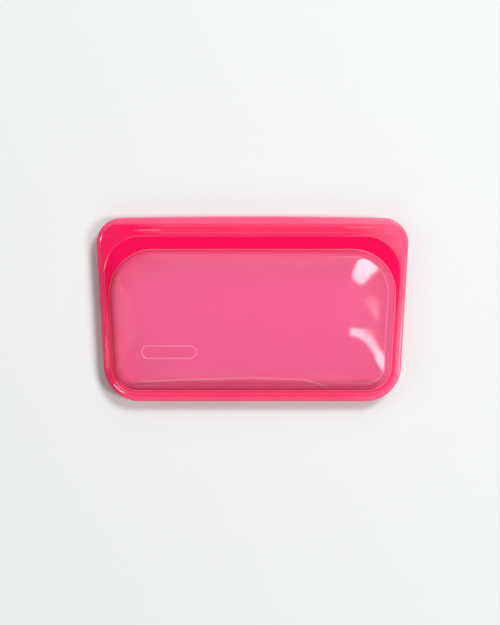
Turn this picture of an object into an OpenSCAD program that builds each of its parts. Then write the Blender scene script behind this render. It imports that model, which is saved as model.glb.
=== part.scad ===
// Reusable silicone food bag: a shallow moulded pocket with a pinch seal along its mouth.
// It lies on its back. X runs along the mouth, Y from the bottom edge to the lips, Z up.
// The front half swings open about the fold along its bottom edge, and the back lip folds down.

/* [Bag] */
// Full width across the mouth corners
bag_w = 190.5; // [170:0.5:230]
// Full height from the bottom edge to the lips
bag_h = 112; // [105:1:140]
// Full depth of the pocket, front to back
bag_d = 25.4; // [22:0.1:32]
// Height of the plane where the two sheets meet, above the table
seam_z = 11; // [9:0.1:12]
// Angle by which each side leans in towards the bottom
side_taper = 3.35; // [0:0.05:5]
// Radius of the outer corners beside the mouth
top_corner_r = 15.3; // [15:0.1:18]
// Radius of the outer corners at the bottom
bottom_corner_r = 22; // [18:0.1:25]

/* [Walls] */
// Thickness of the pocket walls
wall_t = 1.2; // [0.8:0.1:1.6]
// Thickness of each sheet around the pocket
sheet_t = 1.4; // [1.2:0.1:1.6]
// Gap left between the front sheet and the back sheet
sheet_gap = 0.2; // [0.1:0.05:0.3]
// Width of the fused seam along the sides and the bottom
seam_w = 3; // [2.5:0.1:3.2]
// Radius of the rounded bead along every outer edge
bead_r = 1.8; // [1.7:0.1:2]

/* [Pocket] */
// Distance from the lips' edge to the top of the pocket
pocket_top_inset = 19.7; // [19:0.1:24]
// Distance from each side edge to the pocket
pocket_side_inset = 6.5; // [6:0.1:10]
// Distance from the bottom edge to the pocket
pocket_bottom_inset = 6.9; // [6:0.1:10]
// Radius of the pocket's corners next to the mouth
pocket_top_r = 26; // [22:0.5:30]
// Radius of the pocket's corners at the bottom
pocket_bottom_r = 15; // [13:0.5:18]
// Width of the curved shoulder around the pocket
shoulder_w = 7; // [6:0.1:12]
// Height by which the middle of the front bulges above its shoulder
crown_rise = 6; // [2:0.1:7]

/* [Mouth] */
// Distance from the lips' edge to the middle of the seal
seal_inset = 7; // [6.8:0.1:8.4]
// Width of the strip that carries each half of the seal
seal_strip_w = 5.1; // [5:0.1:5.4]
// Width of the seal tongue where it meets the front sheet
tongue_w = 2.6; // [2.2:0.1:2.8]
// Width of the seal tongue at its rounded tip
tongue_tip_w = 1.7; // [1.4:0.1:2]
// Depth of the seal tongue below the middle of the mouth
tongue_h = 1.6; // [1.2:0.1:1.7]
// Clearance between the tongue and its groove
seal_clearance = 0.3; // [0.25:0.05:0.35]

/* [Hidden] */
$fn = 48;

silicone = [0.93, 0.12, 0.35];
silicone_thick = [0.85, 0.02, 0.27];
silicone_thin = [0.95, 0.42, 0.58];

corner_steps = 12;                            // straight steps round each corner of an outline
shoulder_steps = 7;                           // steps up each shoulder
crown_shares = [0.95, 0.88, 0.78, 0.64, 0.45, 0.2]; // crown rings, as shares of the shoulder's size
crown_power_x = 5;                            // the crown stays high until close to its sides
crown_power_y = 2.4;                          // and rounds off sooner towards its top and bottom
front_turn = 70;                              // angle the front's shoulder turns before its crown
back_turn = 90;                               // the back's shoulder turns level, into a flat base

move_gap = 0.3;                               // gap beside every edge that moves past another
face_z = sheet_gap / 2;                       // inner face of a sheet, from the seam plane
sheet_z = face_z + sheet_t;                   // outer face of a sheet, from the seam plane

top_y = bag_h / 2;
bottom_y = -bag_h / 2;
corner_y = top_y - top_corner_r;              // centre of the outer corners beside the mouth
half_w = bag_w / 2 - corner_y * tan(side_taper) + top_corner_r * (1 / cos(side_taper) - 1);
corner_x = centre_x(corner_y, top_corner_r, 0);
lip_half_w = corner_x - move_gap;

groove_side_t = 0.6;                          // silicone left beside the groove, next to the lip
groove_floor_t = 0.9;                         // silicone left under the groove
seal_y = top_y - seal_inset;
lip_root_y = seal_y + tongue_w / 2 + seal_clearance + groove_side_t; // seal strips end, lips begin
lip_fold_y = lip_root_y - seal_strip_w + sheet_t / 2;                // axis the back lip folds about
band_y = lip_root_y - seal_strip_w - move_gap;                       // back sheet's edge at the mouth
front_edge_y = band_y - move_gap;                                    // front sheet's edge at the mouth

fold_r = sheet_t / 2;
fold_y = bottom_y + seam_w + move_gap + fold_r; // axis the front half swings about
fold_z = face_z + fold_r;

pocket_top = top_y - pocket_top_inset;
pocket_bottom = bottom_y + pocket_bottom_inset;
pocket_mid_y = (pocket_top + pocket_bottom) / 2;

step_h = 0.5;                                 // the sheet's margin stands this much above its middle
step_run = 0.5;                               // and steps down to it over this width
step_margin = 0.9;                            // least width of the margin
step_top = front_edge_y - step_margin;
step_bottom = fold_y + step_margin;
step_side_inset = seam_w + move_gap + step_margin;
step_top_r = 24;                              // the step crosses the top corners in a wide arch
step_bottom_r = bottom_corner_r - 5;          // and runs beside the rim at the bottom corners

// Outlines

// Half width of the outer outline's straight side at height y
function side_x(y) = half_w + y * tan(side_taper);

// Where a corner of radius r has its centre, so that it touches the side moved in by inset
function centre_x(y, r, inset) = side_x(y) - (r + inset) / cos(side_taper);

function arc(x, y, r, from, to) = [
    for (i = [0:corner_steps])
        let (a = from + (to - from) * i / corner_steps)
        [x + r * cos(a), y + r * sin(a)]
];

// Right half of an outline, from the top corner down to the bottom corner
function right_half(top_centre_y, top_r, start, bottom, bottom_r, inset) = concat(
    arc(centre_x(top_centre_y, top_r, inset), top_centre_y, top_r, start, -side_taper),
    arc(centre_x(bottom + bottom_r, bottom_r, inset), bottom + bottom_r, bottom_r, -side_taper, -90)
);

function reversed(list) = [for (i = [len(list) - 1:-1:0]) list[i]];

function both_halves(points) = concat(points, [for (p = reversed(points)) [-p.x, p.y]]);

// An outline with a full round corner at the top
function round_outline(top, top_r, bottom, bottom_r, inset) =
    both_halves(right_half(top - top_r, top_r, 90, bottom, bottom_r, inset));

// The outer outline moved in by inset, and cut off straight at the heights top and bottom
function cut_outline(top, bottom, inset) = both_halves(right_half(
    corner_y, top_corner_r - inset, asin((top - corner_y) / (top_corner_r - inset)),
    bottom, bottom_y + bottom_corner_r - bottom, inset
));

// The pocket's outline, moved in by d
function pocket_outline(d) = round_outline(
    pocket_top - d, pocket_top_r - d, pocket_bottom + d, pocket_bottom_r - d, pocket_side_inset + d
);

// The outline of the step in the sheet, moved out by d
function step_outline(d) = round_outline(
    step_top + d, step_top_r + d, step_bottom - d, step_bottom_r + d, step_side_inset - d
);

function at_height(points, z) = [for (p = points) [p.x, p.y, z]];

// Rings up a shoulder that leaves the sheet upright and turns through turn degrees.
// run and rise are what it would cover in turning level; inset moves its foot in.
function shoulder(inset, run, rise, turn) = [
    for (i = [0:shoulder_steps])
        let (a = turn * i / shoulder_steps)
        at_height(pocket_outline(inset + run * (1 - cos(a))), sheet_z + rise * sin(a))
];

// How far a crown has fallen, from 0 in its middle to 1 along its edges.
// u and v are the distances from its middle, as shares of half its length and half its height.
function fall(u, v) =
    let (along = pow(abs(u), crown_power_x), across = pow(abs(v), crown_power_y))
    along + across - along * across;

// Rings that shrink a shoulder's last outline towards the middle of the pocket, rising by rise
function crown(outline, rise) =
    let (
        half_length = max([for (p = outline) p.x]),
        half_height = outline[0].y - pocket_mid_y
    )
    [for (share = crown_shares)
        [for (p = outline)
            let (u = p.x / half_length, v = (p.y - pocket_mid_y) / half_height)
            [
                p.x * share,
                pocket_mid_y + v * half_height * share,
                p.z + rise * (1 - fall(u * share, v * share) / fall(u, v))
            ]
        ]
    ];

// A shoulder with its crown on top
function bulge(inset, run, rise, turn, crown_h) =
    let (rings = shoulder(inset, run, rise, turn))
    concat(rings, crown(rings[shoulder_steps], crown_h));

// Solids

// Faces between neighbouring rings of n points, also across from the last point to the first if closed
function ring_faces(count, n, closed) = [
    for (k = [0:count - 2], i = [0:(closed ? n - 1 : n - 2)])
        let (a = k * n + i, b = k * n + (i + 1) % n)
        each [[a, b, b + n], [a, b + n, a + n]]
];

// A solid through a list of closed rings, with a flat cap on the first and the last
module loft(rings) {
    n = len(rings[0]);
    last = (len(rings) - 1) * n;
    polyhedron(
        points = [for (ring = rings) each ring],
        faces = concat(
            [[for (i = [n - 1:-1:0]) i]],
            ring_faces(len(rings), n, true),
            [[for (i = [0:n - 1]) last + i]]
        )
    );
}

// A solid strip: curves are the edges of its section, in order round the section
module band(curves) {
    n = len(curves[0]);
    wrapped = concat(curves, [curves[0]]);
    starts = [for (k = [0:len(curves) - 1]) k * n];
    polyhedron(
        points = [for (curve = wrapped) each curve],
        faces = concat(
            ring_faces(len(wrapped), n, false),
            [starts],
            [[for (start = reversed(starts)) start + n - 1]]
        )
    );
}

// One half of the bag above the seam plane: sheet, shoulder and crown in one thin shell
module half_shell(depth, crown_h, turn, edge) {
    rise = (depth - crown_h - sheet_z) / sin(turn);
    inside = bulge(wall_t, shoulder_w - wall_t, rise - wall_t, turn, crown_h);
    outside = bulge(0, shoulder_w, rise, turn, crown_h);
    sheet = [
        at_height(pocket_outline(wall_t), face_z),
        at_height(edge, face_z),
        at_height(edge, sheet_z + step_h),
        at_height(step_outline(step_run), sheet_z + step_h),
        at_height(step_outline(0), sheet_z)
    ];
    loft(concat(reversed(inside), sheet, outside));
}

// A section in Y and Z, drawn out along the mouth over half_length to each side
module along_x(half_length) {
    rotate([90, 0, 90])
        translate([0, 0, -half_length])
            linear_extrude(height = 2 * half_length) children();
}

// A lip with half of the round bead at its free edge: side is 1 on the front and -1 on the back
module lip_section(side) {
    bead_y = top_y - bead_r;
    scale_side = side > 0 ? 0 : 1;
    mirror([0, scale_side]) {
        translate([lip_root_y, face_z]) square([bead_y - lip_root_y, sheet_t]);
        intersection() {
            translate([bead_y, 0]) circle(r = bead_r);
            translate([bead_y - bead_r, face_z]) square([2 * bead_r, bead_r]);
        }
    }
}

// The tongue, or with a margin the groove that takes it, hanging from the seam plane
module tongue_section(margin) {
    base = tongue_w / 2 + margin;
    tip_r = tongue_tip_w / 2 + margin;
    tip_z = tongue_tip_w / 2 - tongue_h;
    root_z = 2 * face_z;
    translate([seal_y, 0]) {
        polygon([[-base, root_z], [base, root_z], [base, 0], [tip_r, tip_z], [-tip_r, tip_z], [-base, 0]]);
        translate([0, tip_z]) circle(r = tip_r);
    }
}

// Sub-parts that stay still

module back_wall() {
    color(silicone_thin)
        translate([0, 0, seam_z])
            mirror([0, 0, 1])
                half_shell(seam_z, 0, back_turn, cut_outline(band_y, bottom_y + seam_w, seam_w));
}

module edge_seam() {
    bead_turn = 75;
    flat_z = bead_r * sin(bead_turn);
    bead = [for (a = [-bead_turn:bead_turn / 3:bead_turn]) [bead_r * (1 - cos(a)), bead_r * sin(a)]];
    section = concat(bead, [[seam_w, flat_z], [seam_w, -flat_z]]);
    color(silicone_thick)
        translate([0, 0, seam_z])
            band([for (p = section) at_height(cut_outline(band_y, bottom_y + p.x, p.x), p.y)]);
}

// A quarter disc with a round rim that closes the corner of the mouth
module mouth_end_right() {
    disc_r = top_corner_r - bead_r;
    color(silicone_thick) translate([corner_x, corner_y, seam_z]) intersection() {
        rotate_extrude(angle = 90, $fn = 96) {
            translate([0, -bead_r]) square([disc_r, 2 * bead_r]);
            intersection() {
                translate([disc_r, 0]) circle(r = bead_r);
                translate([disc_r, -bead_r]) square([bead_r, 2 * bead_r]);
            }
        }
        translate([0, band_y - corner_y, -bead_r]) cube([top_corner_r, top_corner_r, 2 * bead_r]);
    }
}

module mouth_end_left() {
    mirror([1, 0, 0]) mouth_end_right();
}

// Sub-parts of the back lip, which folds down about the round root of its seal strip

module back_lip() {
    color(silicone)
        translate([0, 0, seam_z])
            along_x(lip_half_w) lip_section(-1);
}

module seal_groove() {
    rib_r = tongue_w / 2 + seal_clearance + groove_floor_t;
    rib_z = rib_r - tongue_h - seal_clearance - groove_floor_t;
    strip_w = lip_root_y - lip_fold_y;
    color(silicone_thick) translate([0, 0, seam_z]) along_x(lip_half_w) difference() {
        union() {
            translate([lip_fold_y, -fold_z]) circle(r = fold_r);
            translate([lip_fold_y, -sheet_z]) square([strip_w, sheet_t]);
            intersection() {
                translate([seal_y, rib_z]) circle(r = rib_r);
                translate([lip_fold_y, -sheet_z - rib_r]) square([strip_w, rib_r + fold_r]);
            }
        }
        tongue_section(seal_clearance);
    }
}

// Sub-parts of the front half, which swings up about the fold

module front_wall() {
    edge = cut_outline(front_edge_y, fold_y, seam_w + move_gap);
    color(silicone_thin)
        translate([0, 0, seam_z])
            half_shell(bag_d - seam_z, crown_rise, front_turn, edge);
}

// A half-round nose along the front sheet's straight bottom edge
module bottom_fold() {
    fold_corner_r = bottom_y + bottom_corner_r - fold_y;
    half_length = centre_x(bottom_y + bottom_corner_r, fold_corner_r, seam_w + move_gap);
    color(silicone_thick) translate([0, fold_y, seam_z + fold_z]) along_x(half_length) intersection() {
        circle(r = fold_r);
        translate([-fold_r, -fold_r]) square([fold_r, 2 * fold_r]);
    }
}

module seal_tongue() {
    ridge_r = 3.2;
    ridge_rise = 0.8;
    tongue_end_gap = 2;
    strip_w = lip_root_y - front_edge_y;
    color(silicone_thick) translate([0, 0, seam_z]) {
        along_x(lip_half_w) {
            translate([front_edge_y, face_z]) square([strip_w, sheet_t]);
            intersection() {
                translate([seal_y, sheet_z + ridge_rise - ridge_r]) circle(r = ridge_r);
                translate([front_edge_y, face_z]) square([strip_w, sheet_z + ridge_rise]);
            }
        }
        along_x(lip_half_w - tongue_end_gap) tongue_section(0);
    }
}

module front_lip() {
    color(silicone)
        translate([0, 0, seam_z])
            along_x(lip_half_w) lip_section(1);
}

back_wall();
edge_seam();
mouth_end_left();
mouth_end_right();
back_lip();
seal_groove();
front_wall();
bottom_fold();
seal_tongue();
front_lip();
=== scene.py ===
"""Looks of the reusable silicone bag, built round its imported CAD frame."""
import math

import bpy
import numpy as np
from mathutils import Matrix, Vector
from mathutils.bvhtree import BVHTree


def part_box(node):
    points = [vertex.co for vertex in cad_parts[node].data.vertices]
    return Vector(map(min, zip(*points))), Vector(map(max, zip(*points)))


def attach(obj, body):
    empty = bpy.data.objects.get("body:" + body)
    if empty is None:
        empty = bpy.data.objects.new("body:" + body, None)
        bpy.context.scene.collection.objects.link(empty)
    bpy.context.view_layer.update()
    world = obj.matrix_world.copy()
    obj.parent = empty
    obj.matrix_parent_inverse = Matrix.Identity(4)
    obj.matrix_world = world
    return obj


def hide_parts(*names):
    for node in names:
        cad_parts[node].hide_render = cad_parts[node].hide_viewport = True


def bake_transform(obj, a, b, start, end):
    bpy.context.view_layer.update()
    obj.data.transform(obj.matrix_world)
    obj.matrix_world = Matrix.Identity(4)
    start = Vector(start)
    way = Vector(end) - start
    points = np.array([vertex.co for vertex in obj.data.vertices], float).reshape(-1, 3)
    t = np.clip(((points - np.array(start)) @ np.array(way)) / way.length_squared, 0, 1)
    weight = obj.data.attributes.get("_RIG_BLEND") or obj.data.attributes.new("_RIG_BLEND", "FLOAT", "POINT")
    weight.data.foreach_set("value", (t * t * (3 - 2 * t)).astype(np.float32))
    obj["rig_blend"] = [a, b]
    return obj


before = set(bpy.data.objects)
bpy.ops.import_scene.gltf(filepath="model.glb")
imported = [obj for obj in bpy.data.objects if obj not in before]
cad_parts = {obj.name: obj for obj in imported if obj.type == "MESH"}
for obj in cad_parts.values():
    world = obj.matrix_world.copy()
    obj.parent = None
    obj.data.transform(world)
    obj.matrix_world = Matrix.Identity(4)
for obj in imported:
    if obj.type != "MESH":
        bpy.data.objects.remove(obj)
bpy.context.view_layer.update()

MM = 0.001

# ------------------------------------------------------------ sizes in mm, from the frame


def box_mm(node):
    """A CAD node's lowest and highest corners in millimetres."""
    return [np.array(corner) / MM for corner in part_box(node)]


SEAM_LOW, SEAM_HIGH = box_mm("edge_seam")
FRONT_LOW, FRONT_HIGH = box_mm("front_wall")
BACK_LOW, BACK_HIGH = box_mm("back_wall")
LIP_HIGH = box_mm("front_lip")[1]

SEAM_Z = (SEAM_LOW[2] + SEAM_HIGH[2]) / 2    # plane where the two sheets meet
TOP_Y = LIP_HIGH[1]                          # edge of the lips
BOTTOM_Y = SEAM_LOW[1]
HALF_WIDTH = SEAM_HIGH[0]
BAND_Y = BACK_HIGH[1]                        # where the back sheet ends and its lip begins
FOLD_Y = FRONT_LOW[1]                        # axis the front half swings about
BEAD_R = LIP_HIGH[2] - SEAM_Z                # rounded bead along every outer edge
FRONT_DEPTH = FRONT_HIGH[2] - SEAM_Z
BACK_DEPTH = SEAM_Z - BACK_LOW[2]

FACE = 0.1                                   # a sheet's inner face, from the seam plane
SHEET = 1.5                                  # a sheet's outer face, from the seam plane
MARGIN = 2.0                                 # outer face of a sheet's raised margin
WALL_T = 1.2
SEAL_Y = TOP_Y - 7.0                         # middle of the pinch seal
LIP_Y = TOP_Y - 3.8                          # where the lip thins towards its edge

TAPER = math.radians(3.35)                   # lean of each side
TOP_CORNER_R = 15.3
BOTTOM_CORNER_R = 22.0
CORNER_Y = TOP_Y - TOP_CORNER_R
SEAM_W = 3.0                                 # width of the bead that fuses the sheets

POCKET_INSET = 6.5                           # from the side of the bag to the pocket
POCKET_TOP = TOP_Y - 19.7
POCKET_BOTTOM = BOTTOM_Y + 6.9
POCKET_TOP_R = 26.0
POCKET_BOTTOM_R = 15.0
POCKET_MID_Y = (POCKET_TOP + POCKET_BOTTOM) / 2

STEP_TOP = BAND_Y - 1.0
STEP_BOTTOM = FOLD_Y + 0.9
STEP_INSET = 3.8                             # from the side of the bag to the moulded step
STEP_TOP_R = 22.0
STEP_BOTTOM_R = BOTTOM_CORNER_R - 5.0

JOIN = 0.01                                  # half the hairline left between touching pieces

TOP_STEPS = 48                               # points along each stretch of half an outline
CORNER_STEPS = 30
SIDE_STEPS = 28
BOTTOM_STEPS = 48

# ------------------------------------------------------------ outlines


def side_x(y):
    """Half width of the bag's straight side at height y."""
    corner_lean = TOP_CORNER_R * (1 / math.cos(TAPER) - 1)
    return HALF_WIDTH + (y - CORNER_Y) * math.tan(TAPER) + corner_lean


def centre_x(y, radius, inset):
    """Where a corner of that radius has its centre, to touch the side moved in by inset."""
    return side_x(y) - (radius + inset) / math.cos(TAPER)


def span(a, b, steps, last=False):
    """Points from a to b, without b unless last."""
    t = np.linspace(0, 1, steps, endpoint=last)[:, None]
    return np.array(a)[None] * (1 - t) + np.array(b)[None] * t


def arc(cx, cy, radius, start, end, steps, last=False):
    """Points round a circle between two angles in radians, without the last unless last."""
    a = np.linspace(start, end, steps, endpoint=last)
    return np.stack([cx + radius * np.cos(a), cy + radius * np.sin(a)], 1)


def outline(top, top_centre_y, top_r, start, bottom, bottom_r, inset):
    """Closed outline, clockwise from the middle of the top edge. start is the top corner's first angle."""
    top_cx = centre_x(top_centre_y, top_r, inset)
    bottom_cy = bottom + bottom_r
    bottom_cx = centre_x(bottom_cy, bottom_r, inset)
    corner = arc(top_cx, top_centre_y, top_r, start, -TAPER, CORNER_STEPS)
    side_top = [top_cx + top_r * math.cos(TAPER), top_centre_y - top_r * math.sin(TAPER)]
    side_bottom = [bottom_cx + bottom_r * math.cos(TAPER), bottom_cy - bottom_r * math.sin(TAPER)]
    right = np.concatenate([
        span([0, top], corner[0], TOP_STEPS),
        corner,
        span(side_top, side_bottom, SIDE_STEPS),
        arc(bottom_cx, bottom_cy, bottom_r, -TAPER, -math.pi / 2, CORNER_STEPS),
        span([bottom_cx, bottom], [0, bottom], BOTTOM_STEPS, last=True),
    ])
    left = right[-2:0:-1] * np.array([-1, 1])
    return np.concatenate([right, left])


def cut_outline(top, inset):
    """The bag's outline moved in by inset and cut off straight across the mouth."""
    r = TOP_CORNER_R - inset
    start = math.asin((top - CORNER_Y) / r)
    return outline(top, CORNER_Y, r, start, BOTTOM_Y + inset, BOTTOM_CORNER_R - inset, inset)


def pocket_outline(d):
    """The pocket's outline moved in by d."""
    top_r = POCKET_TOP_R - d
    top = POCKET_TOP - d
    return outline(top, top - top_r, top_r, math.pi / 2,
                   POCKET_BOTTOM + d, POCKET_BOTTOM_R - d, POCKET_INSET + d)


def step_outline(d):
    """The outline of the moulded step in the sheet, moved out by d."""
    top_r = STEP_TOP_R + d
    top = STEP_TOP + d
    return outline(top, top - top_r, top_r, math.pi / 2,
                   STEP_BOTTOM - d, STEP_BOTTOM_R + d, STEP_INSET - d)


# ------------------------------------------------------------ smooth changes


def smoothstep(t):
    t = np.clip(t, 0, 1)
    return t * t * (3 - 2 * t)


def rise(value, start, width):
    """0 before start, then smoothly up to 1 over width. A negative width rises towards lower values."""
    return smoothstep((value - start) / width)


def bump(value, middle, width):
    """1 at the middle, and smoothly down to 0 on both sides."""
    return np.exp(-((value - middle) / width) ** 2)


# ------------------------------------------------------------ meshes

SHARP_ANGLE = math.radians(40)


def mesh_object(name, points, faces):
    """A smooth-shaded mesh object from points in millimetres, with sharp edges kept sharp."""
    mesh = bpy.data.meshes.new(name)
    mesh.from_pydata([tuple(p) for p in np.asarray(points) * MM], [], faces)
    mesh.validate()
    mesh.shade_smooth()
    mesh.set_sharp_from_angle(angle=SHARP_ANGLE)
    obj = bpy.data.objects.new(name, mesh)
    bpy.context.scene.collection.objects.link(obj)
    return obj


def grid_faces(rows, n):
    """Quads between rows of n points, each row closed on itself."""
    faces = []
    for k in range(rows - 1):
        for i in range(n):
            a = k * n + i
            b = k * n + (i + 1) % n
            faces.append((a, a + n, b + n, b))
    return faces


def loft(name, rings):
    """A closed solid through closed rings of points, with a fan over the first and last."""
    n = len(rings[0])
    count = len(rings)
    points = np.concatenate([*rings, rings[0].mean(0)[None], rings[-1].mean(0)[None]])
    faces = grid_faces(count, n)
    first, last = count * n, count * n + 1
    base = (count - 1) * n
    faces += [((i + 1) % n, first, i) for i in range(n)]
    faces += [(base + i, last, base + (i + 1) % n) for i in range(n)]
    return mesh_object(name, points, faces)


def sweep(name, sections):
    """A closed solid through copies of one closed section."""
    n = len(sections[0])
    count = len(sections)
    faces = grid_faces(count, n)
    base = (count - 1) * n
    faces.append(tuple(range(n)))
    faces.append(tuple(base + i for i in reversed(range(n))))
    return mesh_object(name, np.concatenate(sections), faces)


def slab_faces(rows, n):
    """Quads of a closed slab: an upper and a lower sheet of rows by n points, and the wall between."""
    half = rows * n
    faces = []
    for k in range(rows - 1):
        for i in range(n - 1):
            a, b = k * n + i, k * n + i + 1
            faces.append((a, a + n, b + n, b))
            faces.append((half + a, half + b, half + b + n, half + a + n))
    first_column = [k * n for k in range(rows)]
    last_row = [(rows - 1) * n + i for i in range(1, n)]
    last_column = [k * n + n - 1 for k in range(rows - 2, -1, -1)]
    first_row = list(range(n - 2, 0, -1))
    loop = first_column + last_row + last_column + first_row
    for a, b in zip(loop, loop[1:] + loop[:1]):
        faces.append((a, half + a, half + b, b))
    return faces


def ring(flat, z):
    """A flat outline lifted to height z, a number or one per point."""
    return np.concatenate([flat, np.broadcast_to(z, len(flat))[:, None]], 1)


def points_mm(obj):
    """An object's points in millimetres, one row each."""
    co = np.empty(len(obj.data.vertices) * 3, np.float32)
    obj.data.vertices.foreach_get("co", co)
    return co.reshape(-1, 3).astype(float) / MM


def set_points_mm(obj, points):
    obj.data.vertices.foreach_set("co", (points * MM).astype(np.float32).ravel())
    obj.data.update()


def set_attribute(obj, name, values):
    """Writes one number per point, for the materials or for the bending."""
    attribute = obj.data.attributes.get(name) or obj.data.attributes.new(name, "FLOAT", "POINT")
    attribute.data.foreach_set("value", np.asarray(values, np.float32))


# ------------------------------------------------------------ the two walls

SHOULDER_W = 7.0
SHOULDER_STEPS = 18
CROWN_STEPS = 50
CROWN_SPACING = 1.35                         # over 1, so the rings lie closer towards the crown's edge
FRONT_CROWN = 6.0
CROWN_POWER_X = 5.0                          # the crown stays high until close to its sides
CROWN_POWER_Y = 2.4                          # and rounds off sooner towards its top and bottom
FRONT_TURN = math.radians(70)
BACK_TURN = math.radians(90)
STEP_RUN = 0.8                               # width over which the step comes down
EDGE_ROUND = 0.3                             # the raised margin's edge is rounded by this much
ROUND_RUN = 4.0                              # and starts sharp at the mouth, rounding off over this
PIPING_W = 0.55                              # half width and height of the bead round the pocket
PIPING_H = 0.45


def fall(u, v):
    """How far a crown has fallen, from 0 in its middle to 1 along its edges."""
    along, across = np.abs(u) ** CROWN_POWER_X, np.abs(v) ** CROWN_POWER_Y
    return along + across - along * across


def bulge_rings(inset, run, height, turn, crown):
    """Rings up the pocket's shoulder, which is run wide and height tall, and over its crown."""
    rings = []
    for i in range(SHOULDER_STEPS + 1):
        a = turn * i / SHOULDER_STEPS
        flat = pocket_outline(inset + run * (1 - math.cos(a)))
        rings.append(ring(flat, SHEET + height * math.sin(a)))
    edge = rings[-1]
    middle = np.array([0, POCKET_MID_Y, 0])
    u = edge[:, 0] / edge[:, 0].max()
    v = (edge[:, 1] - POCKET_MID_Y) / (edge[0, 1] - POCKET_MID_Y)
    for i in range(1, CROWN_STEPS):
        share = 1 - (i / CROWN_STEPS) ** CROWN_SPACING
        shrunk = middle + (edge - middle) * np.array([share, share, 1])
        shrunk[:, 2] += crown * (1 - fall(u * share, v * share) / fall(u, v))
        rings.append(shrunk)
    return rings


def sheet_rings():
    """Rings over the flat sheet, from its outer edge in to the pocket's foot."""
    edge = SEAM_W + 2 * JOIN
    top = BAND_Y - JOIN
    rings = [ring(cut_outline(top, edge), FACE)]
    for t in (0, 0.5, 1):
        inward = EDGE_ROUND * (1 - math.cos(t * math.pi / 2))
        flat = cut_outline(top - inward, edge + inward)
        drop = EDGE_ROUND * (1 - math.sin(t * math.pi / 2))
        rings.append(ring(flat, MARGIN - drop * rise(flat[:, 1], top, -ROUND_RUN)))
    for t in (0, 0.25, 0.5, 0.75, 1):
        drop = (MARGIN - SHEET) * smoothstep(t)
        rings.append(ring(step_outline(STEP_RUN * (0.5 - t)), MARGIN - drop))
    for t in (-1, -0.5, 0, 0.5):
        flat = pocket_outline(t * PIPING_W - PIPING_W / 2)
        rings.append(ring(flat, SHEET + PIPING_H * (1 - t * t)))
    return rings


def wall_rings(depth, crown, turn):
    """Rings from the middle of a wall's inside, round its edge, to the middle of its outside."""
    height = (depth - crown - SHEET) / math.sin(turn)
    inside = bulge_rings(WALL_T, SHOULDER_W - WALL_T, height - WALL_T, turn, crown)
    outside = bulge_rings(0, SHOULDER_W, height, turn, crown)
    return inside[::-1] + [ring(pocket_outline(WALL_T), FACE)] + sheet_rings() + outside


# The soft fold above the bottom shoulder, as x and height above the bag's bottom edge along it
CREASE = [(-76, 11.8), (-40, 13.4), (0, 14.3), (30, 13.4), (48, 9.0)]
CREASE_H = 0.7
CREASE_DIP = 0.6
# Soft lumps in the crown, as x and y from the bag's middle, reach and height
SWELLS = [(60, 18, 15, 1.5), (54, -13, 16, 2.0), (-48, -20, 20, 0.5)]
LUMP_ROOM = 0.9                              # the crown is lower by this, so the lumps fit
FOOT_H = 4.0                                 # the shoulder keeps its moulded shape up to this height


def fold_line(x, y):
    """The fold's ridge and the dip below it, each as a share of its height."""
    crease_x, above_bottom = np.array(CREASE, float).T
    line = BOTTOM_Y + np.interp(x, crease_x, above_bottom)
    ends = rise(x, crease_x[0], 12) * rise(x, crease_x[-1], -8)
    ridge = bump(y, line, 0.8)
    dip = bump(y, line - 2, 1.3)
    return ridge * ends, dip * ends


def unevenness(x, y):
    """Height added to the front wall: a fold above the bottom shoulder, lumps, and slack in the film."""
    ridge, dip = fold_line(x, y)
    lumps = sum(h * bump(np.hypot(x - cx, y - cy), 0, reach) for cx, cy, reach, h in SWELLS)
    slack = (0.22 * np.sin(x / 17 + 0.7) * np.sin(y / 13 + 0.4)
             + 0.15 * np.sin(x / 9.5 - y / 14 + 1.3)
             + 0.08 * np.sin(x / 6.1 + y / 7.7)
             + 0.03 * np.sin(x / 2.9 + 1.2 * np.sin(y / 5.3)))
    return CREASE_H * ridge - CREASE_DIP * dip + lumps + slack


# Tone (1 is deep red, 0 is the panel's pink) and paleness of each ring of the sheet, from its edge in:
# four rings on the raised margin, five down the step and four over the bead round the pocket. The paleness
# is painted highlight along the margin's edge, the step and the bead
MARGIN_RINGS = 6                             # rings that take the margin's painted sheen, with the top of the step
SHEET_TONES = [0.97, 0.97, 0.97, 0.97, 0.97, 0.97, 0.98, 1.0, 1.0, 1.0, 1.0, 0.7, 0.8]
SHEET_HIGHLIGHTS = [0.0, 0.05, 0.05, 0.01, 0.01, 0.06, 0.12, 0.04, 0.0, 0.0, 0.08, 0.55, 0.15]
SHOULDER_TONES = [0.85 - 0.45 * smoothstep(i / SHOULDER_STEPS) for i in range(SHOULDER_STEPS + 1)]
CROWN_TONES = [0.4 * (1 - smoothstep(i / 14)) for i in range(1, CROWN_STEPS)]
RECESS_TONE = 0.97                           # tones above this belong to the recess
# painted highlight along the fold's ridge
CREASE_HIGHLIGHT = 0.6
LIT_EDGE = [0.5, 1.0, 0.4]                   # painted highlight on the last shoulder ring and its neighbours
LIT_PALE = 0.55
# painted shade on the bottom shoulder, which faces away from the light: a deeper tone and a darker colour
LOW_SHOULDER_SHADE_TONE = 0.35
LOW_SHOULDER_SHADE_DIM = 0.5

# Where colours change, painted shade, sheen and highlights among them, as the x or y in mm at which a change
# starts and the distance it takes
UPPER_HALF = (-15, 30)
# painted shade deepens the flange on the left, painted sheen lightens it on the right
LEFT_PAINTED_SHADE = (-75, -12)
RIGHT_PAINTED_SHEEN = (50, 35)
# painted sheen towards the upper right corner
SHEEN_UPPER_RIGHT_X = (55, 35)
SHEEN_UPPER_RIGHT_Y = (15, 25)
# painted shade on the flange's left side
SHADE_X = (-78, -8)
SHADE_Y = (40, -25)
# painted highlight along the shoulder's edge towards the right
LIT_SIDE = (35, 35)
# painted shade on the bottom shoulder
LOW_SHOULDER_X = (85, -15)
LOW_SHOULDER_Y = (-42, -3)


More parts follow.
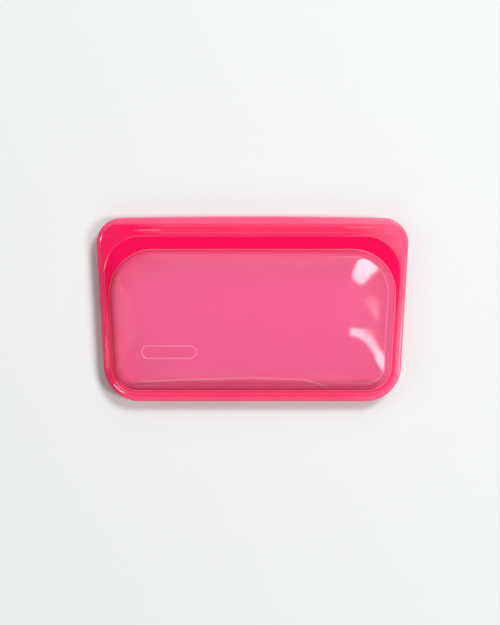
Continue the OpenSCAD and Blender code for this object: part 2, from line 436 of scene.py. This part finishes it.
def upper_depth(y):
    """Depth of the recess's colour, which is full in the upper half."""
    return 0.8 + 0.2 * rise(y, *UPPER_HALF)


def flange_depth_and_painted_light(p):
    """How deep the flange's colour is: full at the upper left, with painted shade deepening it on the left
    side, less towards the bottom, and paler towards the right as a painted sheen.
    """
    upper = rise(p[:, 1], *UPPER_HALF)
    left = rise(p[:, 0], *LEFT_PAINTED_SHADE)
    right = rise(p[:, 0], *RIGHT_PAINTED_SHEEN)
    return (0.8 + 0.2 * np.maximum(upper, 0.8 * left)) * (1 - 0.2 * right)


def painted_sheen_upper_right(p):
    """Painted sheen: how much paler the flange is made towards the upper right corner, standing in for the
    reflection of the lights there.
    """
    return 0.16 * rise(p[:, 0], *SHEEN_UPPER_RIGHT_X) * rise(p[:, 1], *SHEEN_UPPER_RIGHT_Y)


def painted_left_shade(p):
    """Painted shade: how much darker the flange is made on its left side, where its two thick layers lie
    away from the light.
    """
    lower = 0.35 + 0.65 * rise(p[:, 1], *SHADE_Y)
    return 0.3 * rise(p[:, 0], *SHADE_X) * lower


def paint_wall(obj, rings, sheet_highlights, fold_highlight):
    """Writes the colour of each point of a wall. The last argument is how pale the painted highlight along
    the fold's ridge is.
    """
    bulge = SHOULDER_TONES + CROWN_TONES
    inside = [0.0] * (len(bulge) + 1)
    flat = [0.0] * len(sheet_highlights)
    plain = [0.0] * len(bulge)
    n = len(rings[0])

    def spread(values):
        """One value per ring, given to each of its points and to the two middle points."""
        return np.concatenate([np.repeat(values, n), [values[0], values[-1]]])

    p = points_mm(obj)
    x, y, _ = p.T
    outside = spread(inside + flat + [1.0] * len(bulge))
    # painted shade where the bottom shoulder faces away from the light
    shaded_low_shoulder = rise(y, *LOW_SHOULDER_Y) * rise(np.abs(x), *LOW_SHOULDER_X) * outside

    tones = spread(bulge[::-1] + SHEET_TONES[:1] + SHEET_TONES + bulge)
    recess = rise(tones, RECESS_TONE, 1 - RECESS_TONE)
    tones = tones * (flange_depth_and_painted_light(p) * (1 - recess) + upper_depth(y) * recess)
    # the tone is deepened by the painted shade on the bottom shoulder
    set_attribute(obj, "tone", tones + LOW_SHOULDER_SHADE_TONE * shaded_low_shoulder * (1 - tones))

    lit = LIT_PALE * rise(x, *LIT_SIDE)      # painted highlight: the shoulder's upper edge is made paler on the right, where it catches the light
    line = [0.0] * (SHOULDER_STEPS - 1) + LIT_EDGE + [0.0] * (CROWN_STEPS - 2)
    pale = spread(inside + sheet_highlights + plain) * (1 + lit) + spread(inside + flat + line) * lit
    margin = spread(inside + [1.0] * MARGIN_RINGS + flat[MARGIN_RINGS:] + plain)
    # painted highlight along the fold's ridge
    fold = fold_highlight * fold_line(x, y)[0]
    # paleness: painted highlights along the sheet, the shoulder's edge and the fold's ridge, and painted
    # sheen on the margin towards the upper right
    set_attribute(obj, "pale", pale + fold * outside + margin * painted_sheen_upper_right(p))
    # painted shade: on the bottom shoulder and on the flange's left side
    set_attribute(obj, "painted_shade", np.maximum(LOW_SHOULDER_SHADE_DIM * shaded_low_shoulder, painted_left_shade(p)))
    set_attribute(obj, "skin", spread(inside + [0.0] + [1.0] * (len(flat) - 1 + len(bulge))))


def make_front_wall():
    """The front sheet with its step and the domed half of the pocket, with its fold and lumps."""
    rings = wall_rings(FRONT_DEPTH - LUMP_ROOM, FRONT_CROWN, FRONT_TURN)
    for r in rings:
        r[:, 2] += SEAM_Z
    obj = loft("front_wall_skin", rings)
    p = points_mm(obj)
    p[:, 2] += rise(p[:, 2] - SEAM_Z, FOOT_H, FOOT_H) * unevenness(p[:, 0], p[:, 1])
    set_points_mm(obj, p)
    paint_wall(obj, rings, SHEET_HIGHLIGHTS, CREASE_HIGHLIGHT)
    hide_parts("front_wall", "bottom_fold")
    return obj


def make_back_wall():
    """The back sheet with the shallower half of the pocket, which rests on the table."""
    off_table = 0.05                         # keeps it from sharing the table's plane
    rings = wall_rings(BACK_DEPTH, 0, BACK_TURN)
    for r in rings:
        r[:, 2] = np.maximum(SEAM_Z - r[:, 2], off_table)
        r[:, 0] *= -1                        # mirrored twice, so the faces still point outwards
    obj = loft("back_wall_skin", rings)
    paint_wall(obj, rings, [0.0] * len(SHEET_HIGHLIGHTS), 0.0)
    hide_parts("back_wall")
    return obj


# ------------------------------------------------------------ the raised mark on the front

# A plain raised outline with round ends, placed from the bag's left side and bottom edge
MARK_X = (28.25 - HALF_WIDTH, 61.25 - HALF_WIDTH)
MARK_Y = (26.5 + BOTTOM_Y, 34.0 + BOTTOM_Y)
MARK_SECTION = [(-0.45, -0.3), (-0.35, 0.1), (0, 0.3), (0.35, 0.1), (0.45, -0.3)]  # inset, height
MARK_TONE = 0.05
MARK_PALE = 0.9
MARK_STEPS = 16


def mark_outline(inset):
    """Two straight sides and two half circles, moved in by inset."""
    r = (MARK_Y[1] - MARK_Y[0]) / 2 - inset
    middle = (MARK_Y[0] + MARK_Y[1]) / 2
    left, right = MARK_X[0] + r + inset, MARK_X[1] - r - inset
    return np.concatenate([
        arc(right, middle, r, math.pi / 2, -math.pi / 2, MARK_STEPS),
        span([right, middle - r], [left, middle - r], 2 * MARK_STEPS),
        arc(left, middle, r, -math.pi / 2, -3 * math.pi / 2, MARK_STEPS),
        span([left, middle + r], [right, middle + r], 2 * MARK_STEPS),
    ])


def make_mark(wall):
    """Lies on the front wall, whose height is found by looking straight down at it."""
    tree = BVHTree.FromPolygons(points_mm(wall).tolist(), [tuple(f.vertices) for f in wall.data.polygons])
    sky = FRONT_HIGH[2] + 10                 # well above the wall
    curves = []
    for inset, height in MARK_SECTION:
        flat = mark_outline(inset)
        under = np.array([tree.ray_cast((x, y, sky), (0, 0, -1))[0].z for x, y in flat])
        curves.append(ring(flat, under + height))
    n = len(curves[0])
    faces = grid_faces(len(curves), n)
    last = (len(curves) - 1) * n
    faces += [(last + i, i, (i + 1) % n, last + (i + 1) % n) for i in range(n)]
    obj = mesh_object("front_mark", np.concatenate(curves), faces)
    count = len(obj.data.vertices)
    for name, value in (("tone", MARK_TONE), ("pale", MARK_PALE), ("skin", 1.0)):
        set_attribute(obj, name, np.full(count, value))
    return obj


# ------------------------------------------------------------ the rim and the mouth's ends

BEAD_STEPS = 12
MOUTH_HALF = centre_x(CORNER_Y, TOP_CORNER_R, 0)  # half length of the free part of the mouth


def plate_z(y):
    """Outer face of a lip's plate, from the seam plane: it thins from the margin to the edge."""
    return SHEET + (MARGIN - SHEET) * (1 - rise(y, BAND_Y, 6))


def bead_section():
    """Inset and height of the rim's section: a round bead that runs into two flat faces."""
    meet = math.asin(SHEET / BEAD_R)
    a = np.linspace(meet - math.pi, math.pi - meet, 2 * BEAD_STEPS + 1)
    bead = [(BEAD_R * (1 - math.cos(t)), BEAD_R * math.sin(t)) for t in a]
    return bead + [(SEAM_W, SHEET), (SEAM_W, -SHEET)]


def rim_curve(inset):
    """The bag's edge from one end of the mouth round the bottom to the other, moved in by inset."""
    just_inside = 1e-6                       # keeps the cut from passing the top of the corner
    whole = cut_outline(TOP_Y - inset - just_inside, inset)
    return whole[TOP_STEPS:len(whole) - TOP_STEPS + 1]


RIPPLE_HIGHLIGHTS = [(-73, -54, -7.6, 0.35), (55, 77, -6.0, 0.3)]  # painted highlight lines: start, end, y from the edge, and paleness
STREAK_FADE = 5.0
STREAK_W = 0.45
MOUTH_TONE = 0.84                            # tone along the seal
ENDS_DEEPER = 0.13                           # added towards the ends of the mouth
ENDS_X = (MOUTH_HALF - 28, 16)
EDGE_LIGHTER = 0.42                          # taken away along the lips' edge
EDGE_Y = (LIP_Y - 0.6, 1.2)
RIM_TONE = 0.95


def painted_ripple_highlights(x, y):
    """Painted highlights: paleness of the light lines that stand in for the light caught where the lip
    ripples beside its ends.
    """
    total = 0.0
    for start, end, from_edge, strength in RIPPLE_HIGHLIGHTS:
        along = rise(x, start, STREAK_FADE) * rise(x, end, -STREAK_FADE)
        total = total + strength * along * bump(y, TOP_Y + from_edge, STREAK_W)
    return total


def paint_mouth(obj):
    """Writes the colour of a piece at the mouth: deep at the seal and light at the edge, with painted sheen
    along the edge, painted highlight lines and painted shade on the left.
    """
    p = points_mm(obj)
    x, y, _ = p.T
    to_edge = rise(y, *EDGE_Y)
    tone = MOUTH_TONE + ENDS_DEEPER * rise(np.abs(x), *ENDS_X) - EDGE_LIGHTER * to_edge
    set_attribute(obj, "tone", tone * flange_depth_and_painted_light(p))
    # painted sheen: the lips' edge is paler, more so towards the right
    painted_edge_sheen = (0.02 + 0.12 * rise(x, 20, 40)) * to_edge
    set_attribute(obj, "pale", painted_edge_sheen + painted_sheen_upper_right(p) + painted_ripple_highlights(x, y))
    set_attribute(obj, "painted_shade", painted_left_shade(p))
    set_attribute(obj, "skin", np.ones(len(x)))


def make_rim():
    """The fused seam down both sides and along the bottom."""
    section = bead_section()[::-1]
    curves = np.array([ring(rim_curve(inset), SEAM_Z + z) for inset, z in section])
    obj = sweep("edge_rim", [curves[:, i] for i in range(curves.shape[1])])
    p = points_mm(obj)
    corner_start = CORNER_Y + 5
    corner = rise(p[:, 1], corner_start, TOP_Y - corner_start)
    set_attribute(obj, "tone", (RIM_TONE - EDGE_LIGHTER * corner) * flange_depth_and_painted_light(p))
    # painted sheen: the rim is paler towards the right
    set_attribute(obj, "pale", 0.02 + 0.1 * rise(p[:, 0], 60, 30))
    set_attribute(obj, "painted_shade", painted_left_shade(p))
    set_attribute(obj, "skin", np.ones(len(p)))
    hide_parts("edge_seam")
    return obj


END_STEPS = 26                               # points along a mouth end's rounded edge
END_ROWS = 14
END_TRIM = 0.02                              # radians left off, so that its tip keeps some width


def make_mouth_end(side):
    """The solid corner inside the rim, beside one end of the lips. side is 1 or -1."""
    r = TOP_CORNER_R - SEAM_W - 2 * JOIN
    start = math.asin((BAND_Y - CORNER_Y) / r)
    edge = arc(MOUTH_HALF, CORNER_Y, r, start, math.pi / 2 - END_TRIM, END_STEPS, last=True)
    inner = np.stack([np.full(len(edge), MOUTH_HALF), edge[:, 1]], 1)
    rows = [inner * (1 - share) + edge * share for share in np.linspace(0, 1, END_ROWS)]
    top = np.concatenate([ring(row, plate_z(row[:, 1])) for row in rows])
    bottom = top * np.array([1, 1, -1])
    points = np.concatenate([top, bottom])
    points[:, 2] += SEAM_Z
    points[:, 0] *= side
    faces = slab_faces(END_ROWS, END_STEPS)
    if side < 0:
        faces = [f[::-1] for f in faces]
    obj = mesh_object("mouth_end_skin_right" if side > 0 else "mouth_end_skin_left", points, faces)
    paint_mouth(obj)
    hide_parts("mouth_end_right" if side > 0 else "mouth_end_left")
    return obj


# ------------------------------------------------------------ the lips

MOUTH_STEPS = 160
LIP_HALF = MOUTH_HALF - 2 * JOIN
PLATE_STEPS = 26                             # points across a lip's outer face
EDGE_STEPS = 14                              # and round half of its edge
TIP_STEPS = 11                               # and round the tongue's tip or the groove's floor
ROOT_STEPS = 6                               # and from the groove to the back lip's root
TONGUE_HALF = 1.3                            # half width of the tongue at its root
TONGUE_TIP_R = 0.85
TONGUE_H = 1.6
SEAL_GAP = 0.3
RIDGE_H = 0.5                                # the raised line over the tongue
RIDGE_HALF = 2.7
RIDGE_SLOPE = 1.1
RIDGE_FADE = 20.0
RIB_H = 1.0                                  # the rib under the groove
RIB_HALF = 2.2
BOW_OUT = 0.9                                # how far the middle of the lips' edge bows out


def plate_points():
    """Y and Z of a lip's outer face, above the seam plane, from its root to its round edge."""
    y = np.linspace(BAND_Y + JOIN, TOP_Y - 2 * BEAD_R, PLATE_STEPS)
    return np.stack([y, plate_z(y)], 1)


def lip_edge_points():
    """Half of the lips' round edge, above the seam plane, from the plate out to the tip."""
    meet = math.pi - math.asin(SHEET / BEAD_R)
    return arc(TOP_Y - BEAD_R, 0, BEAD_R, meet, math.asin(FACE / BEAD_R), EDGE_STEPS, last=True)


def front_lip_section():
    """Y and Z of the front lip's section, with the tongue of the seal under it."""
    tip = arc(SEAL_Y, TONGUE_TIP_R - TONGUE_H, TONGUE_TIP_R, 0, -math.pi, TIP_STEPS, last=True)
    return np.concatenate([
        [[BAND_Y + JOIN, FACE]],
        plate_points(),
        lip_edge_points(),
        [[SEAL_Y + TONGUE_HALF, FACE], [SEAL_Y + TONGUE_HALF, 0]],
        tip,
        [[SEAL_Y - TONGUE_HALF, 0], [SEAL_Y - TONGUE_HALF, FACE]],
    ])


def back_lip_section():
    """Y and Z of the back lip's section, with the groove of the seal in it and a rib under that."""
    groove_half = TONGUE_HALF + SEAL_GAP
    floor_r = TONGUE_TIP_R + SEAL_GAP
    floor = arc(SEAL_Y, TONGUE_TIP_R - TONGUE_H, floor_r, 0, -math.pi, TIP_STEPS, last=True)
    outer = plate_points()
    outer[:, 1] += RIB_H * np.exp(-((outer[:, 0] - SEAL_Y) / RIB_HALF) ** 4)
    root = np.linspace(SEAL_Y - groove_half, BAND_Y + JOIN, ROOT_STEPS)
    return np.concatenate([
        outer * [1, -1],
        lip_edge_points() * [1, -1],
        [[SEAL_Y + groove_half, -FACE]],
        floor,
        np.stack([root, np.full(len(root), -FACE)], 1),
    ])[::-1]


def along_mouth(section, ridge):
    """Copies of a section from one end of the mouth to the other. The edge bows out slightly."""
    y, z = section.T
    bow_start = SEAL_Y + 2
    outer_face = z > SHEET * 0.9
    across = rise(np.abs(y - SEAL_Y), RIDGE_HALF, -RIDGE_SLOPE) * outer_face
    copies = []
    for x in np.linspace(-LIP_HALF, LIP_HALF, MOUTH_STEPS + 1):
        lift = BOW_OUT * (1 - (x / MOUTH_HALF) ** 2) * rise(y, bow_start, TOP_Y - bow_start)
        raised = ridge * across * rise(abs(x), MOUTH_HALF, -RIDGE_FADE)
        copies.append(np.stack([np.full(len(y), x), y + lift, z + raised + SEAM_Z], 1))
    return copies


def make_lip(name, section, ridge, nodes):
    """A lip of that section, with a raised line of height ridge along its outer face."""
    obj = sweep(name, along_mouth(section, ridge))
    paint_mouth(obj)
    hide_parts(*nodes)
    return obj


# ------------------------------------------------------------ how the pieces bend


def bow(x):
    """Share of a turn that the mouth takes at x: the ends stay fused and the middle turns fully."""
    return smoothstep(1 - np.abs(x) / MOUTH_HALF)


def bend(obj, moving_body, share):
    """obj bends between the still back half and a moving body by the given share at each point."""
    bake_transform(obj, "back_half", moving_body, start=(0, BAND_Y * MM, 0), end=(0, TOP_Y * MM, 0))
    set_attribute(obj, "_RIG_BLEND", share)


def bend_front(obj):
    """The turn starts at the fold along the bottom and is full a little way above it."""
    p = points_mm(obj)
    bend(obj, "front_half", bow(p[:, 0]) * rise(p[:, 1], FOLD_Y, 12))


def bend_back_lip(obj):
    """The turn starts at the lip's root."""
    p = points_mm(obj)
    bend(obj, "back_lip_flap", bow(p[:, 0]) * rise(p[:, 1], BAND_Y, 2.4))


# ------------------------------------------------------------ materials


def attribute_node(nodes, name):
    """A number that the meshes carry at each point, or 0 on a mesh without it."""
    node = nodes.new("ShaderNodeAttribute")
    node.attribute_name = name
    return node.outputs["Fac"]


def mix_colour(nodes, links, factor, a, b):
    """Mixes colour a to colour b; each is a colour or a socket."""
    node = nodes.new("ShaderNodeMix")
    node.data_type = "RGBA"
    for name, value in (("A", a), ("B", b)):
        if isinstance(value, tuple):
            node.inputs[name].default_value = (*value, 1)
        else:
            links.new(value, node.inputs[name])
    links.new(factor, node.inputs["Factor"])
    return node.outputs["Result"]


def noise(nodes, links, place, scale, detail):
    """Smooth random values from 0 to 1, fixed to the object."""
    node = nodes.new("ShaderNodeTexNoise")
    node.inputs["Scale"].default_value = scale
    node.inputs["Detail"].default_value = detail
    links.new(place, node.inputs["Vector"])
    return node.outputs["Fac"]


def ramp(nodes, links, value, low, high):
    """value from 0 to 1 mapped to low to high."""
    node = nodes.new("ShaderNodeMapRange")
    node.inputs["To Min"].default_value = low
    node.inputs["To Max"].default_value = high
    links.new(value, node.inputs["Value"])
    return node.outputs["Result"]


def product(nodes, links, a, b):
    node = nodes.new("ShaderNodeMath")
    node.operation = "MULTIPLY"
    links.new(a, node.inputs[0])
    links.new(b, node.inputs[1])
    return node.outputs["Value"]


def mix_shader(nodes, links, factor, a, b):
    """Shader a where factor is 0 and b where it is 1. factor is a number or a socket."""
    node = nodes.new("ShaderNodeMixShader")
    if isinstance(factor, float):
        node.inputs["Fac"].default_value = factor
    else:
        links.new(factor, node.inputs["Fac"])
    links.new(a, node.inputs[1])
    links.new(b, node.inputs[2])
    return node.outputs["Shader"]


PANEL_PINK = (1.0, 0.32, 0.55)
DEEP_RED = (0.98, 0.002, 0.13)
# colour that the pale attribute mixes in: painted highlights and sheen, and the raised mark
PALE_PINK = (1.0, 0.62, 0.78)
CLEAR_PINK = (1.0, 0.72, 0.88)               # tint of what is seen through the silicone

SILICONE_IOR = 1.43
SKIN_GLOSS = 1.0                             # twice the usual, since the mixes below dilute it
ROUGHNESS = (0.06, 0.13)
CLOUDINESS = (0.95, 1.05)                    # darkest and lightest of the cloudy patches
CLOUD_SCALE = 34
GRAIN_SCALE = 1500
GRAIN_HEIGHT = 0.0002
GRAIN_STRENGTH = 0.05
PAINTED_SHADE_DARKEST = 0.4                                # brightness where the painted shade is full
BODY_GLOW = 0.42                             # share of light that passes through the cloudy body
INSIDE_OPACITY = 0.15                        # the inner faces of the walls are nearly clear


def silicone_colour(nodes, links, tone, cloud):
    """From pink to deep red by tone, then paler by the pale attribute, which carries painted highlights and
    sheen and the pale raised mark, and darker by the painted shade that the mesh carries, with cloudy
    patches.
    """
    colour = mix_colour(nodes, links, tone, PANEL_PINK, DEEP_RED)
    colour = mix_colour(nodes, links, attribute_node(nodes, "pale"), colour, PALE_PINK)
    painted_shading = ramp(nodes, links, attribute_node(nodes, "painted_shade"), 1.0, PAINTED_SHADE_DARKEST)
    shade = nodes.new("ShaderNodeHueSaturation")
    links.new(product(nodes, links, ramp(nodes, links, cloud, *CLOUDINESS), painted_shading), shade.inputs["Value"])
    links.new(colour, shade.inputs["Color"])
    return shade.outputs["Color"]


def grain_normal(nodes, links, place):
    """The fine satin grain of the moulded skin."""
    grain = nodes.new("ShaderNodeBump")
    grain.inputs["Strength"].default_value = GRAIN_STRENGTH
    grain.inputs["Distance"].default_value = GRAIN_HEIGHT
    links.new(noise(nodes, links, place, GRAIN_SCALE, 2), grain.inputs["Height"])
    return grain.outputs["Normal"]


def silicone_material(name, opacity_thin, opacity_thick):
    """Translucent silicone: a glossy skin over a cloudy body that lets some light through."""
    material = bpy.data.materials.new(name)
    material.use_nodes = True
    nodes, links = material.node_tree.nodes, material.node_tree.links
    nodes.clear()
    place = nodes.new("ShaderNodeTexCoord").outputs["Object"]
    tone = attribute_node(nodes, "tone")
    cloud = noise(nodes, links, place, CLOUD_SCALE, 3)
    colour = silicone_colour(nodes, links, tone, cloud)

    surface = nodes.new("ShaderNodeBsdfPrincipled")
    surface.inputs["IOR"].default_value = SILICONE_IOR
    surface.inputs["Specular IOR Level"].default_value = SKIN_GLOSS
    links.new(colour, surface.inputs["Base Color"])
    links.new(ramp(nodes, links, cloud, *ROUGHNESS), surface.inputs["Roughness"])
    links.new(grain_normal(nodes, links, place), surface.inputs["Normal"])
    glow = nodes.new("ShaderNodeBsdfTranslucent")
    links.new(colour, glow.inputs["Color"])
    clear = nodes.new("ShaderNodeBsdfTransparent")
    clear.inputs["Color"].default_value = (*CLEAR_PINK, 1)

    thickness = ramp(nodes, links, tone, opacity_thin, opacity_thick)
    outside = ramp(nodes, links, attribute_node(nodes, "skin"), INSIDE_OPACITY, 1.0)
    opacity = product(nodes, links, thickness, outside)
    body = mix_shader(nodes, links, BODY_GLOW, surface.outputs["BSDF"], glow.outputs["BSDF"])
    out = nodes.new("ShaderNodeOutputMaterial")
    links.new(mix_shader(nodes, links, opacity, clear.outputs["BSDF"], body), out.inputs["Surface"])
    return material


def paint(obj, material):
    obj.data.materials.clear()
    obj.data.materials.append(material)


# ------------------------------------------------------------ stage, light and camera

FLOOR_SIZE = 6.0
FLOOR_CELLS = 24


FLOOR_COLOUR = (0.62, 0.635, 0.635, 1)


def make_floor():
    """A plain pale table, flat at height 0."""
    t = np.linspace(-FLOOR_SIZE / 2, FLOOR_SIZE / 2, FLOOR_CELLS + 1) / MM
    n = FLOOR_CELLS + 1
    points = [(x, y, 0) for y in t for x in t]
    faces = [(k * n + i, k * n + i + 1, (k + 1) * n + i + 1, (k + 1) * n + i)
             for k in range(FLOOR_CELLS) for i in range(FLOOR_CELLS)]
    floor = mesh_object("floor", points, faces)
    material = bpy.data.materials.new("pale_table")
    material.use_nodes = True
    surface = material.node_tree.nodes["Principled BSDF"]
    surface.inputs["Base Color"].default_value = FLOOR_COLOUR
    surface.inputs["Roughness"].default_value = 0.8
    paint(floor, material)


def area_light(name, direction, distance, width, height, radiance):
    """A soft rectangular light that faces the bag from that direction."""
    data = bpy.data.lights.new(name, "AREA")
    data.shape = "RECTANGLE"
    data.size, data.size_y = width, height
    data.energy = radiance * math.pi * width * height
    light = bpy.data.objects.new(name, data)
    bpy.context.scene.collection.objects.link(light)
    away = Vector(direction).normalized()
    light.location = away * distance
    light.rotation_mode = "QUATERNION"
    light.rotation_quaternion = away.to_track_quat("Z", "Y")
    light.visible_camera = False


# Name, direction from the bag, distance, width and height in metres, and radiance. The two windows
# make the white reflections on the right of the dome.
LIGHTS = [
    ("window", (0.42, 0.53, 1.0), 3.3, 0.88, 0.8, 33),
    ("side_window", (0.62, -0.12, 1.0), 3.3, 0.56, 1.0, 30),
    ("fill_left", (-1.3, 0.2, 1.0), 4.0, 2.5, 3.0, 1.3),
    ("fill_top", (0.2, 1.3, 1.0), 4.0, 3.0, 2.5, 1.3),
    ("fill_bottom", (-0.2, -1.3, 1.0), 4.0, 3.0, 2.5, 1.3),
]
ROOM_COLOUR = (1.0, 1.0, 0.985, 1)
ROOM_STRENGTH = 0.15


def make_lights():
    world = bpy.data.worlds.new("soft_room")
    world.use_nodes = True
    background = world.node_tree.nodes["Background"]
    background.inputs["Color"].default_value = ROOM_COLOUR
    background.inputs["Strength"].default_value = ROOM_STRENGTH
    bpy.context.scene.world = world
    for light in LIGHTS:
        area_light(*light)


LENS = 85.0
SENSOR_WIDTH = 36.0
VIEW_HEIGHT = 0.382                          # metres seen from the picture's top to its bottom
CAMERA_X, CAMERA_Y = -0.0015, -0.0018        # the bag sits slightly off the picture's middle


def make_camera():
    """Straight above the bag, looking down, with the mouth at the top of the picture."""
    data = bpy.data.cameras.new("camera")
    data.lens = LENS
    data.sensor_width = SENSOR_WIDTH
    camera = bpy.data.objects.new("camera", data)
    bpy.context.scene.collection.objects.link(camera)
    camera.location = (CAMERA_X, CAMERA_Y, SEAM_Z * MM + VIEW_HEIGHT * LENS / SENSOR_WIDTH)
    bpy.context.scene.camera = camera


# ------------------------------------------------------------ build

walls = silicone_material("pocket_silicone", 0.42, 0.86)
lips = silicone_material("lip_silicone", 0.66, 0.85)
seam = silicone_material("seam_silicone", 0.7, 0.82)

front_wall = make_front_wall()
back_wall = make_back_wall()
mark = make_mark(front_wall)
rim = make_rim()
mouth_ends = [make_mouth_end(1), make_mouth_end(-1)]
front_lip = make_lip("front_lip_skin", front_lip_section(), RIDGE_H, ["front_lip", "seal_tongue"])
back_lip = make_lip("back_lip_skin", back_lip_section(), 0.0, ["back_lip", "seal_groove"])

for piece in (front_wall, back_wall, mark):
    paint(piece, walls)
for lip in (front_lip, back_lip):
    paint(lip, lips)
for piece in (rim, *mouth_ends):
    paint(piece, seam)

for piece in (back_wall, rim, *mouth_ends):
    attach(piece, "back_half")
for piece in (front_wall, mark, front_lip):
    bend_front(piece)
bend_back_lip(back_lip)

make_floor()
make_lights()
make_camera()
bpy.context.scene.view_settings.view_transform = "Standard"
bpy.context.scene.cycles.transparent_max_bounces = 24  # enough for sight through every layer
